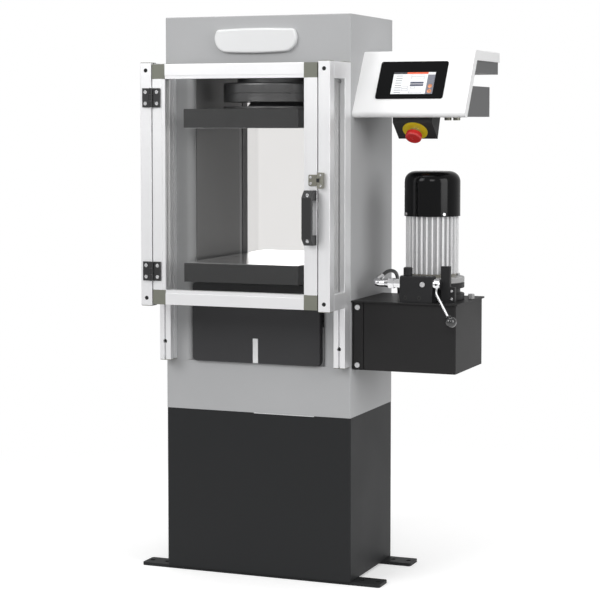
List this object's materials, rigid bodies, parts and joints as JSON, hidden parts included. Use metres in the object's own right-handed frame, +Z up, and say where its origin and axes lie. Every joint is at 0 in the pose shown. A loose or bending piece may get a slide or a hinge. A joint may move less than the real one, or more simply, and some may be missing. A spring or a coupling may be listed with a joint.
{
  "type": "compression testing machine",
  "caption": "Floor-standing hydraulic compression testing machine with ram and ball-seated platens, hinged guard door, side-mounted pump unit and operator console.",
  "frame": {"origin": "on the floor, at the centre of the four anchor holes in the foot bars", "axes": "+X to the machine's right as the operator faces it, where the pump unit and console hang, +Y to the machine's rear, +Z up"},
  "size_m": [0.861, 0.611, 1.4085],
  "materials": {
    "body_paint": "fine textured light grey paint",
    "pedestal_paint": "fine textured charcoal paint",
    "liner_paint": "satin grey",
    "apron_paint": "satin dark grey",
    "badge_paint": "satin white",
    "bar_aluminium": "satin anodised",
    "corner_block": "matt olive grey",
    "window": "clear",
    "hinge_black": "satin black",
    "screw_steel": "zinc plated",
    "latch_metal": "satin olive silver",
    "keeper_metal": "light grey",
    "platen_steel": "blackened, ground face",
    "seat_steel": "blackened",
    "bolt_steel": "plain",
    "cylinder_steel": "turned",
    "ram_chrome": "ground chrome",
    "seal_rubber": "matt",
    "tank_paint": "satin black grey",
    "pump_paint": "satin",
    "motor_aluminium": "bright fins",
    "fan_plastic": "matt",
    "fan_cover_paint": "gloss black",
    "valve_paint": "satin grey",
    "fitting_chrome": "bright plated",
    "knob_plastic": "gloss black",
    "hose_rubber": "matt black",
    "cap_plastic": "black",
    "console_paint": "satin white",
    "chassis_paint": "satin dark grey",
    "screen_glass": "gloss",
    "stop_box_plastic": "matt black",
    "stop_disc_plastic": "yellow",
    "stop_neck_steel": "plain",
    "stop_head_plastic": "red"
  },
  "bodies": {
    "frame": {"base_block": "body_paint", "left_column": "body_paint", "right_column": "body_paint", "crosshead": "body_paint", "pedestal_cabinet": "pedestal_paint", "foot_bars": "pedestal_paint", "chamber_liners": "liner_paint", "apron_cover": "apron_paint", "front_badge": "badge_paint", "left_hinge_post": "bar_aluminium", "right_latch_post": "bar_aluminium", "rear_posts": "bar_aluminium", "side_rails": "bar_aluminium", "side_windows": "window", "rear_guard": "window", "hinge_post_leaves": "hinge_black", "guard_screws": "screw_steel", "pump_unit_screws": "screw_steel", "hinge_pins": "screw_steel", "latch_keeper": "keeper_metal", "seat_housing": "seat_steel", "cylinder": "cylinder_steel", "piston_seal": "seal_rubber", "tank_bracket": "tank_paint", "oil_tank": "tank_paint", "tank_lid": "tank_paint", "pump_body": "pump_paint", "bell_housing": "pump_paint", "motor_frame": "motor_aluminium", "fan_cover": "fan_cover_paint", "valve_block": "valve_paint", "valve_columns": "valve_paint", "hose_fittings": "fitting_chrome", "pressure_hose": "hose_rubber", "filler_cap": "cap_plastic", "console_shell": "console_paint", "console_chassis": "chassis_paint", "touch_screen": "screen_glass", "estop_box": "stop_box_plastic", "estop_disc": "stop_disc_plastic"},
    "door": {"door_stiles": "bar_aluminium", "door_rails": "bar_aluminium", "door_corner_blocks": "corner_block", "door_window": "window", "hinge_door_leaves": "hinge_black", "door_handle": "hinge_black", "door_screws": "screw_steel", "latch_plate": "latch_metal"},
    "ram": {"piston": "ram_chrome", "lower_platen": "platen_steel"},
    "seat_gimbal": {"seat_washer": "seat_steel"},
    "upper_head": {"ball_segment": "seat_steel", "upper_platen": "platen_steel", "seat_bolt": "bolt_steel"},
    "lever": {"lever_arm": "fitting_chrome", "ball_knob": "knob_plastic"},
    "rotor": {"motor_shaft": "bolt_steel", "cooling_fan": "fan_plastic"},
    "stop_plunger": {"estop_plunger": "stop_neck_steel"},
    "stop_head": {"estop_head": "stop_head_plastic"}
  },
  "joints": [
    {"name": "door_hinge", "type": "hinge", "parent": "frame", "child": "door", "pos_m": [-0.21875, -0.3039, 0.99], "axis": [0, 0, -1], "range_deg": [0, 120]},
    {"name": "ram_lift", "type": "slide", "parent": "frame", "child": "ram", "axis": [0, 0, 1], "range_m": [0, 0.05]},
    {"name": "seat_tilt_x", "type": "hinge", "parent": "frame", "child": "seat_gimbal", "pos_m": [0, 0, 1.13], "axis": [1, 0, 0], "range_deg": [-3, 3]},
    {"name": "seat_tilt_y", "type": "hinge", "parent": "seat_gimbal", "child": "upper_head", "pos_m": [0, 0, 1.13], "axis": [0, 1, 0], "range_deg": [-3, 3]},
    {"name": "valve_lever", "type": "hinge", "parent": "frame", "child": "lever", "pos_m": [0.4649, -0.1315, 0.753], "axis": [-1, 0, 0], "range_deg": [0, 90]},
    {"name": "motor_spin", "type": "hinge", "parent": "frame", "child": "rotor", "pos_m": [0.42, -0.034, 0.84], "axis": [0, 0, 1], "continuous": true},
    {"name": "stop_press", "type": "slide", "parent": "frame", "child": "stop_plunger", "axis": [0, 0.6428, 0.766], "range_m": [0, 0.004], "stiffness_N_per_m": 1500},
    {"name": "stop_twist", "type": "hinge", "parent": "stop_plunger", "child": "stop_head", "pos_m": [0.393, -0.08925, 1.12407], "axis": [0, 0.6428, 0.766], "range_deg": [0, 45], "stiffness_Nm_per_rad": 0.02}
  ]
}
